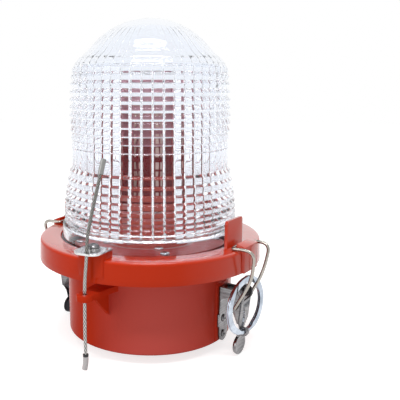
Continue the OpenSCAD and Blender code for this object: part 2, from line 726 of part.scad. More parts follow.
module chassis_plate() color([0.75, 0.75, 0.77]) difference() {
    translate([0, 0, chassis_z]) cylinder(r = chassis_r, h = chassis_t);
    translate([0, 0, chassis_z - 1]) cylinder(r = column_bore, h = chassis_t + 2);
    post_ring(standoff_ring, post_count, 45)
        translate([0, 0, chassis_z - 1]) cylinder(r = m4_r + screw_gap, h = chassis_t + 2);
    post_ring(column_screw_ring, 4)
        translate([0, 0, chassis_z - 1]) cylinder(r = m4_r + screw_gap, h = chassis_t + 2);
    post_ring(spacer_ring, post_count, 45)
        translate([0, 0, chassis_z - 1]) cylinder(r = m4_r + screw_gap, h = chassis_t + 2);
}

module chassis_standoffs() color([0.75, 0.75, 0.77]) post_ring(standoff_ring, post_count, 45) difference() {
    union() {
        translate([0, 0, floor_z]) cylinder(r = standoff_r, h = standoff_h, $fn = 6);
        translate([0, 0, floor_z - 2.8]) cylinder(r = m4_r - screw_gap, h = 3);
    }
    translate([0, 0, chassis_z - 9]) cylinder(r = m4_r, h = 10);
}

module chassis_screws() color([0.7, 0.7, 0.72]) post_ring(standoff_ring, post_count, 45)
    pan_screw(column_z, m4_r - screw_gap, m4_head_r, m4_head_t, chassis_t + 8);

module led_column() color([0.72, 0.24, 0.16]) difference() {
    union() {
        translate([0, 0, column_z]) rotate([0, 0, 22.5]) cylinder(r = column_r, h = column_h, $fn = 8);
        translate([0, 0, column_z]) cylinder(r = column_foot_r, h = column_foot_t);
    }
    translate([0, 0, column_z - 1]) cylinder(r = column_bore, h = column_h - 7);
    translate([0, 0, column_top - 12]) cylinder(r = m4_r, h = 13);
    post_ring(column_screw_ring, 4)
        translate([0, 0, column_z - 1]) cylinder(r = m4_r + screw_gap, h = column_foot_t + 2);
}

module led_boards() color([0.36, 0.04, 0.05]) post_ring(column_flat, 8)
    translate([0, -board_w / 2, column_z + board_low])
        cube([board_t, board_w, column_h - board_low - board_margin]);

module led_packages() color([0.93, 0.9, 0.8]) post_ring(column_flat + board_t, 8)
    for (i = [0:led_rows - 1]) let (z = led_mid + (i - (led_rows - 1) / 2) * led_pitch)
        translate([0, -led_w / 2, z - led_h / 2]) cube([led_out, led_w, led_h]);

module column_screws() color([0.7, 0.7, 0.72]) post_ring(column_screw_ring, 4) {
    pan_screw(column_z + column_foot_t, m4_r - screw_gap, m4_head_r - 0.4, m4_head_t,
              column_foot_t + chassis_t + m4_nut_t);
    translate([0, 0, chassis_z - m4_nut_t]) washer_ring(m4_r, m4_head_r, 0, m4_nut_t);
}

module column_cap() color([0.62, 0.62, 0.64]) difference() {
    translate([0, 0, column_top]) rotate([0, 0, 22.5]) cylinder(r = column_r + 1, h = cap_t, $fn = 8);
    translate([0, 0, column_top - 1]) cylinder(r = m4_r + screw_gap, h = cap_t + 2);
}

module cap_screw() color([0.7, 0.7, 0.72])
    pan_screw(column_top + cap_t, m4_r - screw_gap, m4_head_r, m4_head_t, cap_t + 8);

module driver_board() color([0.1, 0.32, 0.18]) difference() {
    translate([0, 0, driver_z]) cylinder(r = driver_r, h = driver_t);
    post_ring(spacer_ring, post_count, 45)
        translate([0, 0, driver_z - 1]) cylinder(r = m4_r + screw_gap, h = driver_t + 2);
}

module driver_spacers() color([0.75, 0.75, 0.77]) post_ring(spacer_ring, post_count, 45)
    washer_ring(m4_r + screw_gap, standoff_r, driver_z + driver_t, chassis_z);

module driver_screws() color([0.7, 0.7, 0.72]) post_ring(spacer_ring, post_count, 45) {
    pan_screw(column_z, m4_r - screw_gap, m4_head_r, m4_head_t,
              chassis_t + driver_gap + driver_t + m4_nut_t + 0.8);
    translate([0, 0, driver_z - m4_nut_t]) washer_ring(m4_r, m4_head_r, 0, m4_nut_t);
}

module driver_parts() color([0.16, 0.16, 0.18]) {
    translate([-choke[0], -choke[1] / 2, driver_z - choke[2]]) cube(choke);
    for (y = [-1, 1]) translate([can_at, y * can_at, driver_z - can_h]) cylinder(r = can_r, h = can_h);
    translate([chip_at, -chip[1] / 2, driver_z - chip[2]]) cube(chip);
}

module terminal_block() color([0.85, 0.84, 0.8]) difference() {
    translate([-terminal[0] / 2, terminal_y - terminal[1] / 2, floor_z]) cube(terminal);
    for (i = [0:terminal_ways - 1]) terminal_way(i) {
        translate([0, 0, floor_z + terminal[2] - 6]) cylinder(r = 3, h = 7);
        translate([0, 0, floor_z + 5]) rotate([90, 0, 0]) cylinder(r = 2, h = terminal[1] + 2, center = true);
    }
}

module terminal_way(i) {
    pitch = terminal[0] / terminal_ways;
    translate([(i - (terminal_ways - 1) / 2) * pitch, terminal_y, 0]) children();
}

module terminal_screws() color([0.72, 0.6, 0.3]) for (i = [0:terminal_ways - 1])
    terminal_way(i) translate([0, 0, floor_z + terminal[2] - 6]) difference() {
        cylinder(r = 2.9, h = 3);
        translate([0, 0, 3]) cube([7, 0.8, 1.6], center = true);
    }

module earth_stud() color([0.72, 0.6, 0.3]) translate([earth_at[0], earth_at[1], floor_z - 2.8])
    cylinder(r = m4_r + 0.4, h = 16);

module earth_nut() color([0.72, 0.6, 0.3]) translate([earth_at[0], earth_at[1], floor_z]) difference() {
    cylinder(r = 5, h = 4, $fn = 6);
    translate([0, 0, -1]) cylinder(r = m4_r + 0.5, h = 6);
}

module led_lead() color([0.75, 0.12, 0.1]) tube(LEAD, lead_r);

base_housing();
lens_collar();
lens();
lens_gasket();
base_gasket();
lens_clamp_ring();
clamp_screws();
tether_plate();
tether_washer();
tether_screw();
tether_rope_upper();
tether_rope_lower();
tether_ferrule();
tether_band();
tether_sleeve();
right_latch_plate();
right_latch_rivets();
right_latch_pin();
right_lever();
right_bail();
safety_ring();
left_latch_plate();
left_latch_rivets();
left_latch_pin();
left_lever();
left_bail();
chassis_plate();
chassis_standoffs();
chassis_screws();
led_column();
led_boards();
led_packages();
column_screws();
column_cap();
cap_screw();
driver_board();
driver_spacers();
driver_screws();
driver_parts();
terminal_block();
terminal_screws();
earth_stud();
earth_nut();
led_lead();
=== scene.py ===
import json
import math

import bmesh
import bpy
import numpy as np
from mathutils import Matrix, Vector


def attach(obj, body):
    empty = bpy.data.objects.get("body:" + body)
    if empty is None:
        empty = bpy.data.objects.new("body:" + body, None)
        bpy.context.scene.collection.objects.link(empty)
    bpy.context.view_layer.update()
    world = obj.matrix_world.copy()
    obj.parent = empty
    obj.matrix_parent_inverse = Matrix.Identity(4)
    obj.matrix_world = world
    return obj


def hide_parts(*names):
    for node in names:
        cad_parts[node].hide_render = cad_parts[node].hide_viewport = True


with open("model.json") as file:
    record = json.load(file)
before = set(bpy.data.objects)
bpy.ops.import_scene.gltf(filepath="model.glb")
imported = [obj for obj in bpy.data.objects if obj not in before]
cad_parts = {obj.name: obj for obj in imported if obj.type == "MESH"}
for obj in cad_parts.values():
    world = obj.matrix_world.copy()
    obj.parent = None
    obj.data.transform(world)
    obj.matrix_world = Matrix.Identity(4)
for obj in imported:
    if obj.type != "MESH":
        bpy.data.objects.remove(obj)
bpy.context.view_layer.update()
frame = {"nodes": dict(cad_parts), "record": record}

MM = 0.001
scene = bpy.context.scene
scene.view_settings.view_transform = "Standard"


# Camera, fitted to the photograph

IMAGE_PX = 400
FOCAL_PX = 590
AXIS_PX = 150  # the column of the picture that the lamp's axis stands on
SENSOR_MM = 36
CAMERA_AZIMUTH = math.radians(34)
CAMERA_PITCH = 0.1915  # radians below the horizon
CAMERA_DISTANCE = 478 * MM
CAMERA_HEIGHT = 206.5 * MM
CLIP_START = 10 * MM


def add_camera():
    data = bpy.data.cameras.new("camera")
    data.sensor_width = SENSOR_MM
    data.lens = FOCAL_PX / IMAGE_PX * SENSOR_MM
    data.shift_x = (IMAGE_PX / 2 - AXIS_PX) / IMAGE_PX
    data.clip_start = CLIP_START
    camera = bpy.data.objects.new("camera", data)
    camera.location = (CAMERA_DISTANCE * math.sin(CAMERA_AZIMUTH),
                       -CAMERA_DISTANCE * math.cos(CAMERA_AZIMUTH), CAMERA_HEIGHT)
    camera.rotation_euler = (math.pi / 2 - CAMERA_PITCH, 0, CAMERA_AZIMUTH)
    scene.collection.objects.link(camera)
    scene.camera = camera


add_camera()


# Shader graphs

NOISE_SPAN = (0.3, 0.7)  # most of a noise lies in it


class Shader:
    """A Principled material built up node by node; its places are metres in the lamp's frame."""

    def __init__(self, name):
        self.material = bpy.data.materials.new(name)
        self.material.use_nodes = True
        self.tree = self.material.node_tree
        self.bsdf = self.tree.nodes["Principled BSDF"]
        self.coords = self.node("ShaderNodeTexCoord").outputs["Object"]

    def node(self, kind, **values):
        made = self.tree.nodes.new(kind)
        for key, value in values.items():
            setattr(made, key, value)
        return made

    def link(self, out, into):
        self.tree.links.new(out, into)

    def to(self, socket, out):
        self.link(out, self.bsdf.inputs[socket])

    def set(self, **values):
        """Gives sockets a constant; coat_ior stands for the socket Coat IOR."""
        for key, value in values.items():
            socket = key.replace("_", " ").title().replace("Ior", "IOR")
            self.bsdf.inputs[socket].default_value = value

    def noise(self, scale, detail=3.0, roughness=0.55, stretch=(1, 1, 1)):
        mapping = self.node("ShaderNodeMapping")
        mapping.inputs["Scale"].default_value = stretch
        self.link(self.coords, mapping.inputs["Vector"])
        noise = self.node("ShaderNodeTexNoise")
        noise.inputs["Scale"].default_value = scale
        noise.inputs["Detail"].default_value = detail
        noise.inputs["Roughness"].default_value = roughness
        self.link(mapping.outputs["Vector"], noise.inputs["Vector"])
        return noise.outputs["Fac"]

    def ramp(self, value, low, high, span=NOISE_SPAN):
        """Goes from low to high as a value goes over a span."""
        ramp = self.node("ShaderNodeMapRange")
        ramp.inputs["From Min"].default_value = span[0]
        ramp.inputs["From Max"].default_value = span[1]
        ramp.inputs["To Min"].default_value = low
        ramp.inputs["To Max"].default_value = high
        self.link(value, ramp.inputs["Value"])
        return ramp.outputs["Result"]

    def past(self, value, span):
        """0 before a span and 1 past it."""
        return self.ramp(value, 0, 1, span)

    def before(self, value, span):
        """1 before a span and 0 past it."""
        return self.ramp(value, 1, 0, span)

    def times(self, first, second):
        """A node's value times another node's or a constant."""
        product = self.node("ShaderNodeMath", operation="MULTIPLY")
        self.link(first, product.inputs[0])
        if isinstance(second, float):
            product.inputs[1].default_value = second
        else:
            self.link(second, product.inputs[1])
        return product.outputs["Value"]

    def blend(self, factor, first, second):
        """Two colours mixed; each is a triple or another node's colour."""
        mix = self.node("ShaderNodeMix", data_type="RGBA")
        for socket, colour in (("A", first), ("B", second)):
            if isinstance(colour, tuple):
                mix.inputs[socket].default_value = (*colour, 1)
            else:
                self.link(colour, mix.inputs[socket])
        self.link(factor, mix.inputs["Factor"])
        return mix.outputs["Result"]

    def mottled(self, noise, dark, light):
        """A dark and a light colour in patches."""
        return self.blend(self.ramp(noise, 0, 1), dark, light)

    def bump(self, relief, distance, strength):
        bump = self.node("ShaderNodeBump")
        bump.inputs["Strength"].default_value = strength
        bump.inputs["Distance"].default_value = distance
        self.link(relief, bump.inputs["Height"])
        self.to("Normal", bump.outputs["Normal"])

    def part_of(self, vector, axis):
        split = self.node("ShaderNodeSeparateXYZ")
        self.link(vector, split.inputs[0])
        return split.outputs[axis]

    def upward(self):
        """How far the surface faces up."""
        return self.part_of(self.node("ShaderNodeNewGeometry").outputs["Normal"], "Z")

    def height(self):
        return self.part_of(self.coords, "Z")

    def along(self, direction):
        """The place along a direction, from the lamp's axis."""
        dot = self.node("ShaderNodeVectorMath", operation="DOT_PRODUCT")
        self.link(self.coords, dot.inputs[0])
        dot.inputs[1].default_value = direction
        return dot.outputs["Value"]

    def reach(self):
        """The distance from the lamp's axis."""
        flat = self.node("ShaderNodeVectorMath", operation="MULTIPLY")
        self.link(self.coords, flat.inputs[0])
        flat.inputs[1].default_value = (1, 1, 0)
        length = self.node("ShaderNodeVectorMath", operation="LENGTH")
        self.link(flat.outputs["Vector"], length.inputs[0])
        return length.outputs["Value"]


# Housing paint

RIGHT_SIDE = (0.83, 0.56, 0)  # to the right in the photograph
POLISHED_SPAN = (20 * MM, 70 * MM)
COLLAR_SHINE = 0.09
POLISHED_SHINE = 0.45
BASE_SHINE_SHARE = 0.12
# painted highlight on the base's front wall: it grows paler along this direction, towards the camera's side,
# over this span
HIGHLIGHT_SIDE = (0.64, -0.77, 0)
HIGHLIGHT_SPAN = (46 * MM, 68 * MM)
COLLAR_FOOT = (67 * MM, 70 * MM)
WALL_SKIN = (68.4 * MM, 69.2 * MM)  # the eye and the latch pads stand out past it
LYING_FLAT = (0.6, 0.95)


def paint(name, dark, light, low, painted_highlight):
    """Satin paint: glossy where it lay flat and on the collar's right, with a painted highlight on the base's
    front wall.
    """
    s = Shader(name)
    collar = s.mottled(s.noise(scale=9), dark, light)
    # painted highlight: the base's wall turns paler and pinker towards the camera's side
    wall = s.blend(s.past(s.along(HIGHLIGHT_SIDE), HIGHLIGHT_SPAN), low, painted_highlight)
    base = s.blend(s.past(s.reach(), WALL_SKIN), wall, low)
    s.to("Base Color", s.blend(s.past(s.height(), COLLAR_FOOT), base, collar))
    shine = s.ramp(s.along(RIGHT_SIDE), COLLAR_SHINE, POLISHED_SHINE, POLISHED_SPAN)
    s.to("Specular IOR Level", s.times(s.ramp(s.height(), BASE_SHINE_SHARE, 1, COLLAR_FOOT), shine))
    s.to("Roughness", s.ramp(s.noise(scale=60), low=0.15, high=0.22))
    s.bump(s.noise(scale=700, detail=2), distance=0.03 * MM, strength=0.15)
    s.to("Coat Weight", s.past(s.upward(), LYING_FLAT))
    s.set(coat_roughness=0.06, coat_ior=1.75)
    return s.material


# Metals

GRAIN_RELIEF = 0.03 * MM
GRAIN_STRENGTH = 0.3

BRIGHTER_FROM = (60 * MM, 85 * MM)
SCREW_HEADS = (93.8 * MM, 94.6 * MM)
# painted shade on the left lever's lower end: its span along the right side's direction, its heights and its
# colour
PAINTED_SHADE_SIDE = (-68 * MM, -62 * MM)  # along the right side's direction, so at the left lever
PAINTED_SHADE_TOP = (24 * MM, 34 * MM)
DARKER_STEEL = {"dark": (0.11, 0.105, 0.11), "light": (0.28, 0.275, 0.28)}
BRIGHTER_STEEL = {"dark": (0.52, 0.52, 0.52), "light": (0.68, 0.68, 0.68)}
PAINTED_SHADE = (0.02, 0.02, 0.024)

PLATE_RIM = (30 * MM, 36 * MM)
CLAMP_RING = (71.6 * MM, 72 * MM)
PALE_ALUMINIUM = {"dark": (0.8, 0.79, 0.79), "light": (0.88, 0.87, 0.87)}
RIM_PAINT = (0.50, 0.058, 0.052)

CROWN = "crown"
CROWN_SPAN = (0.9, 0.98)
UPPER_ROPE = (88 * MM, 96 * MM)
LOWER_WIRES = {"dark": (0.56, 0.55, 0.53), "light": (0.72, 0.71, 0.69)}
UPPER_WIRES = (0.36, 0.35, 0.33)
# painted shade in the grooves between the strands
PAINTED_GROOVE_SHADE = (0.02, 0.018, 0.016)


def metal(name, dark, light, rough, scale=120, stretch=(1, 1, 40)):
    """Bare or plated metal with a grain."""
    s = Shader(name)
    grain = s.noise(scale, detail=4, roughness=0.6, stretch=stretch)
    s.to("Base Color", s.mottled(grain, dark, light))
    s.to("Roughness", s.ramp(s.noise(2 * scale), low=0.75 * rough, high=1.3 * rough))
    s.bump(grain, GRAIN_RELIEF, GRAIN_STRENGTH)
    s.set(metallic=1.0)
    return s.material


def height_toned_steel(name):
    """Sheet steel: brighter on the collar, darker below it and on screw heads, with painted shade on the left
    lever's lower end.
    """
    s = Shader(name)
    grain = s.noise(scale=70, detail=4, roughness=0.6, stretch=(1, 1, 8))
    darker = s.mottled(grain, **DARKER_STEEL)
    brighter = s.mottled(grain, **BRIGHTER_STEEL)
    # darker steel below the collar and on the screw heads, brighter steel on the collar between them
    sheet = s.blend(s.past(s.height(), BRIGHTER_FROM), darker, brighter)
    sheet_and_heads = s.blend(s.past(s.height(), SCREW_HEADS), sheet, darker)
    # painted shade and dark reflection on the left lever's paddle and neck, which face away from the light
    painted_shade = s.times(s.before(s.along(RIGHT_SIDE), PAINTED_SHADE_SIDE), s.before(s.height(), PAINTED_SHADE_TOP))
    s.to("Base Color", s.blend(painted_shade, sheet_and_heads, PAINTED_SHADE))
    s.to("Roughness", s.ramp(s.noise(scale=140), low=0.14, high=0.26))
    s.bump(grain, GRAIN_RELIEF, GRAIN_STRENGTH)
    s.set(metallic=1.0)
    return s.material


def masked_aluminium(name):
    """Pale aluminium, painted on the chassis plate's rim and bare again on the clamp ring."""
    s = Shader(name)
    pale = s.mottled(s.noise(scale=120), **PALE_ALUMINIUM)
    plate = s.blend(s.past(s.reach(), PLATE_RIM), pale, RIM_PAINT)
    s.to("Base Color", s.blend(s.past(s.reach(), CLAMP_RING), plate, pale))
    s.to("Metallic", s.before(s.reach(), PLATE_RIM))
    s.to("Roughness", s.ramp(s.noise(scale=240), low=0.3, high=0.5))
    return s.material


def stranded(name):
    """Wire rope, bright on the crowns of its strands, with painted shade in the grooves between them, and
    duller high up.
    """
    s = Shader(name)
    crown = s.node("ShaderNodeAttribute", attribute_name=CROWN).outputs["Fac"]
    lower = s.mottled(s.noise(scale=900), **LOWER_WIRES)
    wires = s.blend(s.past(s.height(), UPPER_ROPE), lower, UPPER_WIRES)
    # painted shade: the grooves between the strands are near black
    s.to("Base Color", s.blend(s.past(crown, CROWN_SPAN), PAINTED_GROOVE_SHADE, wires))
    s.to("Roughness", s.ramp(s.noise(scale=300), low=0.2, high=0.3))
    s.set(metallic=1.0)
    return s.material


# Plastics, boards and glass

PLASTIC_SCALE = 80
# painted light on the column's upper part, where light from above falls through the dome
PAINTED_TOP_LIGHT = (0.60, 0.34, 0.39)


def plastic(name, dark, light, rough):
    """Moulded plastic or rubber."""
    s = Shader(name)
    s.to("Base Color", s.mottled(s.noise(PLASTIC_SCALE), dark, light))
    s.to("Roughness", s.ramp(s.noise(3 * PLASTIC_SCALE), low=0.8 * rough, high=1.2 * rough))
    s.bump(s.noise(10 * PLASTIC_SCALE, detail=2), distance=0.03 * MM, strength=0.2)
    return s.material


def top_lit_red(name, dark, light, span):
    """Red paint or solder mask inside the lens, with painted light: paler pink towards the dome over a span
    of heights.
    """
    s = Shader(name)
    red = s.mottled(s.noise(scale=60), dark, light)
    # painted light: paler pink towards the dome
    s.to("Base Color", s.blend(s.past(s.height(), span), red, PAINTED_TOP_LIGHT))
    s.to("Roughness", s.ramp(s.noise(scale=240), low=0.4, high=0.6))
    s.set(specular_ior_level=0.08)
    return s.material


def glass(name):
    """Clear pressed glass, a little wavy."""
    s = Shader(name)
    s.set(base_color=(0.93, 0.952, 0.99, 1), specular_tint=(0.32, 0.33, 0.36, 1))
    s.set(transmission_weight=1.0, ior=1.49)
    s.to("Roughness", s.ramp(s.noise(scale=150), low=0.0, high=0.02))
    s.bump(s.noise(scale=45, detail=2), distance=0.06 * MM, strength=0.4)
    return s.material


# Materials of the record's slots

MATERIALS = {
    "housing_paint": paint("housing_paint", dark=(0.55, 0.030, 0.005), light=(0.60, 0.036, 0.007),
                           low=(0.58, 0.036, 0.010), painted_highlight=(0.65, 0.102, 0.082)),
    "chassis_paint": top_lit_red("chassis_paint", dark=(0.52, 0.088, 0.062), light=(0.60, 0.105, 0.075),
                            span=(165 * MM, 190 * MM)),
    "lens_glass": glass("lens_glass"),
    "seal_rubber": plastic("seal_rubber", dark=(0.11, 0.09, 0.10), light=(0.16, 0.13, 0.14), rough=0.5),
    "band_rubber": plastic("band_rubber", dark=(0.01, 0.01, 0.012), light=(0.018, 0.018, 0.02), rough=0.5),
    "steel": height_toned_steel("steel"),
    "bail_wire": metal("bail_wire", dark=(0.30, 0.275, 0.245), light=(0.44, 0.41, 0.37), rough=0.16),
    "wire_rope": stranded("wire_rope"),
    "crimp": metal("crimp", dark=(0.24, 0.24, 0.235), light=(0.34, 0.34, 0.335), rough=0.32),
    "sleeve_plastic": plastic("sleeve_plastic", dark=(0.54, 0.52, 0.52), light=(0.62, 0.60, 0.60),
                              rough=0.4),
    "ring_zinc": metal("ring_zinc", dark=(0.30, 0.34, 0.40), light=(0.62, 0.68, 0.76), rough=0.14,
                       scale=110, stretch=(1, 1, 1)),
    "aluminium": masked_aluminium("aluminium"),
    "led_board": top_lit_red("led_board", dark=(0.14, 0.002, 0.003), light=(0.19, 0.003, 0.004),
                        span=(152 * MM, 188 * MM)),
    "led_package": plastic("led_package", dark=(0.5, 0.32, 0.27), light=(0.62, 0.42, 0.36), rough=0.25),
    "driver_board": plastic("driver_board", dark=(0.015, 0.09, 0.04), light=(0.02, 0.12, 0.05), rough=0.35),
    "driver_parts": plastic("driver_parts", dark=(0.02, 0.02, 0.024), light=(0.03, 0.03, 0.035), rough=0.45),
    "terminal_plastic": plastic("terminal_plastic", dark=(0.64, 0.62, 0.56), light=(0.72, 0.70, 0.64),
                                rough=0.45),
    "brass": metal("brass", dark=(0.52, 0.38, 0.15), light=(0.66, 0.50, 0.22), rough=0.3),
    "lead_insulation": plastic("lead_insulation", dark=(0.38, 0.016, 0.016), light=(0.45, 0.02, 0.02),
                               rough=0.4),
}
SLOT_OF = {row["node"]: row["material_slot"] for row in frame["record"]["subparts"]}
BODY_OF = {node: body for body, nodes in frame["record"]["behaviour"]["bodies"].items() for node in nodes}

for node_name, node in frame["nodes"].items():
    node.data.materials.clear()
    node.data.materials.append(MATERIALS[SLOT_OF[node_name]])


# Meshes and pieces

OFF_PATH = (0.3, 1, 0.1)  # a first side direction that no path here runs along


def clamp(value, low=0.0, high=1.0):
    return min(high, max(low, value))


def new_piece(name, mesh, node, sharp):
    """Adds a mesh as the piece that stands for a CAD node; edges past the sharp angle stay hard."""
    mesh.validate()
    mesh.shade_smooth()
    mesh.set_sharp_from_angle(angle=math.radians(sharp))
    mesh.materials.append(MATERIALS[SLOT_OF[node]])
    piece = bpy.data.objects.new(name, mesh)
    scene.collection.objects.link(piece)
    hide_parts(node)
    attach(piece, BODY_OF[node])
    return piece


def mesh_from(name, points, faces):
    mesh = bpy.data.meshes.new(name)
    mesh.from_pydata([tuple(p) for p in points], [], faces)
    return mesh


def tube_faces(rings, around):
    """The quads between rings of points."""
    faces = []
    for i in range(rings - 1):
        for k in range(around):
            a, b = i * around + k, i * around + (k + 1) % around
            faces.append((a, b, b + around, a + around))
    return faces


def capped_tube_faces(rings, around):
    """The quads between rings of points and a cap on the first and the last ring."""
    last = (rings - 1) * around
    caps = [tuple(reversed(range(around))), tuple(range(last, last + around))]
    return tube_faces(rings, around) + caps


def rounded(start, corner, end, steps):
    """Points of a curve that leaves a start towards a corner and comes from it to an end."""
    shares = [i / steps for i in range(steps + 1)]
    return [(1 - s) ** 2 * start + 2 * s * (1 - s) * corner + s * s * end for s in shares]


def smooth_path(points, step):
    """Catmull-Rom points along a list, about one step apart."""
    ends = [2 * points[0] - points[1], *points, 2 * points[-1] - points[-2]]
    path = []
    for a, b, c, d in zip(ends, ends[1:], ends[2:], ends[3:]):
        count = max(2, round((c - b).length / step))
        for i in range(count):
            t = i / count
            path.append(0.5 * (2 * b + (c - a) * t + (2 * a - 5 * b + 4 * c - d) * t * t
                               + (3 * b - a - 3 * c + d) * t ** 3))
    path.append(points[-1])
    return path


def path_frames(path):
    """Each point with two side directions, carried along without twisting."""
    side = Vector(OFF_PATH)
    frames = []
    for i, point in enumerate(path):
        ahead = (path[min(i + 1, len(path) - 1)] - path[max(i - 1, 0)]).normalized()
        side = (side - side.dot(ahead) * ahead).normalized()
        frames.append((point, side, ahead.cross(side)))
    return frames


def sweep(name, path, radius_at, sides, bore=0.0, bore_rings=0):
    """A closed tube along a path; radius_at takes the distance along it and the angle round it.

    A bore goes back up from its end over some of the path's rings.
    """
    points, run = [], 0.0
    frames = path_frames(path)
    for i, (centre, across, up) in enumerate(frames + frames[:-bore_rings - 1:-1]):
        run += (path[i] - path[i - 1]).length if 0 < i < len(path) else 0
        for k in range(sides):
            angle = 2 * math.pi * k / sides
            radius = radius_at(run, angle) if i < len(path) else bore
            points.append(centre + radius * (math.cos(angle) * across + math.sin(angle) * up))
    return mesh_from(name, points, capped_tube_faces(len(path) + bore_rings, sides))


# Tether rope and the sleeve on its end; points in millimetres, before the turn to the tether's side

TETHER_TURN = math.radians(-83.5)
ROPE_D = 2.5 * MM
ROPE_STRANDS = 6
ROPE_LAY = 18 * MM
ROPE_SIDES = 36
ROPE_STEP = 0.5 * MM
ROPE_SHARP = 60
GROOVE_SHARE = 0.26
STRAND_POWER = 0.8
ROPE_UP = [(94.7, 0, 92.75), (94.7, 0, 96), (94.3, 0.1, 101), (93.2, 0.4, 107), (91.6, 0.8, 113),
           (89.8, 1.2, 119), (87.8, 1.6, 125), (85.7, 2, 131), (83.5, 2.4, 137), (81.4, 2.8, 143),
           (80.4, 3, 146)]
ROPE_DOWN = [(94.7, 0, 92.75), (94.7, -0.4, 88), (94.8, -1, 82), (95, -1.5, 76), (95, -2, 70),
             (95, -2.3, 63), (95, -2.4, 56), (95, -2.5, 50), (95, -2.6, 44), (95, -2.7, 38),
             (95, -2.75, 32), (94.9, -2.8, 27), (94.8, -2.8, 22), (94.7, -2.8, 17)]

SLEEVE = [(94.7, -2.8, 15.4), (94.7, -2.85, 12.4), (94.8, -3.05, 9.4), (95.1, -3.7, 5.4)]
SLEEVE_R = 2 * MM
SLEEVE_BORE = 1.35 * MM
SLEEVE_BORE_RINGS = 5
SLEEVE_SIDES = 32
SLEEVE_STEP = 1 * MM
SLEEVE_SHARP = 50


def tether_points(points):
    turn = Matrix.Rotation(TETHER_TURN, 3, "Z")
    return [turn @ (Vector(p) * MM) for p in points]


def rope_radius(run, angle):
    strand = abs(math.cos(ROPE_STRANDS / 2 * (angle - 2 * math.pi * run / ROPE_LAY)))
    return ROPE_D / 2 * (1 - GROOVE_SHARE + GROOVE_SHARE * strand ** STRAND_POWER)


def add_rope(name, points, node, with_pieces):
    path = smooth_path(tether_points(points), ROPE_STEP)
    mesh = sweep(name, path, rope_radius, ROPE_SIDES)
    axes = np.repeat([tuple(p) for p in path], ROPE_SIDES, axis=0)
    reach = np.linalg.norm(np.array([v.co for v in mesh.vertices]) - axes, axis=1)
    mesh.attributes.new(CROWN, "FLOAT", "POINT").data.foreach_set("value", reach / (ROPE_D / 2))
    rope = new_piece(name, mesh, node, ROPE_SHARP)


def add_sleeve():
    path = smooth_path(tether_points(SLEEVE), SLEEVE_STEP)
    mesh = sweep("sleeve", path, lambda run, angle: SLEEVE_R, SLEEVE_SIDES, SLEEVE_BORE, SLEEVE_BORE_RINGS)
    return new_piece("sleeve", mesh, "tether_sleeve", SLEEVE_SHARP)


add_rope("rope_upper", ROPE_UP, "tether_rope_upper", [frame["nodes"]["tether_ferrule"]])
add_rope("rope_lower", ROPE_DOWN, "tether_rope_lower", [frame["nodes"]["tether_band"], add_sleeve()])


# Lens, in millimetres: a flange and a band, low rings, a smooth belt, upper rings, a shoulder and a dome

LENS_Z = 78
FLANGE_TOP = 81.5
FLANGE_R = 80
BAND_TOP = 97.6
BAND_R = 71.5
BAND_ROUND = 0.8
EDGE = 0.3

LOW_RINGS = 9
LOW_PITCH = 6.8
LOW_STEP = 0.45  # each low ring is that much shorter than the one above it
LOW_R = 70
WAIST = 5.4
WAIST_CURVE = 2.4
BELT_R = 62.8
BELT_H = 15.8
BELT_EDGE = 0.2
BELT_SWELL = 0.15
UP_RINGS = 11
UP_PITCH = 5.8
BULGE = 1.5
SHOULDER_R = 22.8
SHOULDER_DROP = 11.2
DOME_RISE = 47
DOME_BALL = 60.5
DOME_GAP = 0.2 * UP_PITCH
VALLEY_REACH = 6
VALLEY_STEPS = 9

RING_DEPTH = 1.5
RING_GROWTH = 0.2
LAST_RINGS = (0.8, 0.5, 0.2)  # the share of their depth that the top rings keep
UP_FLANK = 0.13
UP_FLANK_GROWTH = 0.042
LOW_FLANK = 0.26
SLOPE_POWER = 1.7
FLANK_CUTS = (0.03, 0.5, 0.92)
SLOPE_CUTS = (0.04, 0.14, 0.26, 0.38, 0.5, 0.62, 0.74, 0.86, 0.97)

GLASS_WALL = 4.8
FOOT_IN = 66
FOOT_ROUND = (1.2, 1.5)  # inward and upward
FLUTES = 48
FLUTE_TURN = math.radians(-1.7)
FLUTE_DEPTH = 1.3
FLUTE_POWER = 6
FLUTE_CUTS = (-1, -0.965, -0.91, -0.82, -0.68, -0.4, 0, 0.4, 0.68, 0.82, 0.91, 0.965)
FLUTE_FOOT_R = 61
FLUTE_TOP_R = 56.5
FLUTE_START = 0.05  # the share of a flute's height over which it reaches its depth
FLUTE_BELOW_BAND = 2.6
FLUTE_PAST_SHOULDER = 4
INNER_DOME_GAP = 4
FLUTE_LEVELS = 24
DOME_FLUTE = 0.11
SMOOTH_TOP_R = 26
SMOOTH_FADE = 1.5
OUTER_STEPS = 20
INNER_STEPS = 14
LENS_SHARP = 66

LOW_H = LOW_RINGS * LOW_PITCH - LOW_STEP * LOW_RINGS * (LOW_RINGS - 1) / 2
BELT_Z = BAND_TOP + LOW_H
BELT_TOP = BELT_Z + BELT_H
RINGS_TOP = BELT_TOP + UP_RINGS * UP_PITCH
RING_KEEP = (1,) * (UP_RINGS - len(LAST_RINGS)) + LAST_RINGS
SHOULDER_Z = RINGS_TOP - SHOULDER_DROP
SHOULDER_C = (BELT_R - SHOULDER_R, SHOULDER_Z)
DOME_TOP = SHOULDER_Z + DOME_RISE
DOME_C = (0, DOME_TOP - DOME_BALL)
FLUTE_FOOT_Z = BAND_TOP - FLUTE_BELOW_BAND
FLUTE_TOP_Z = SHOULDER_Z + FLUTE_PAST_SHOULDER
INNER_DOME_Z = FLUTE_TOP_Z + INNER_DOME_GAP


def low_crest(z):
    return LOW_R - WAIST * ((z - BAND_TOP) / LOW_H) ** WAIST_CURVE


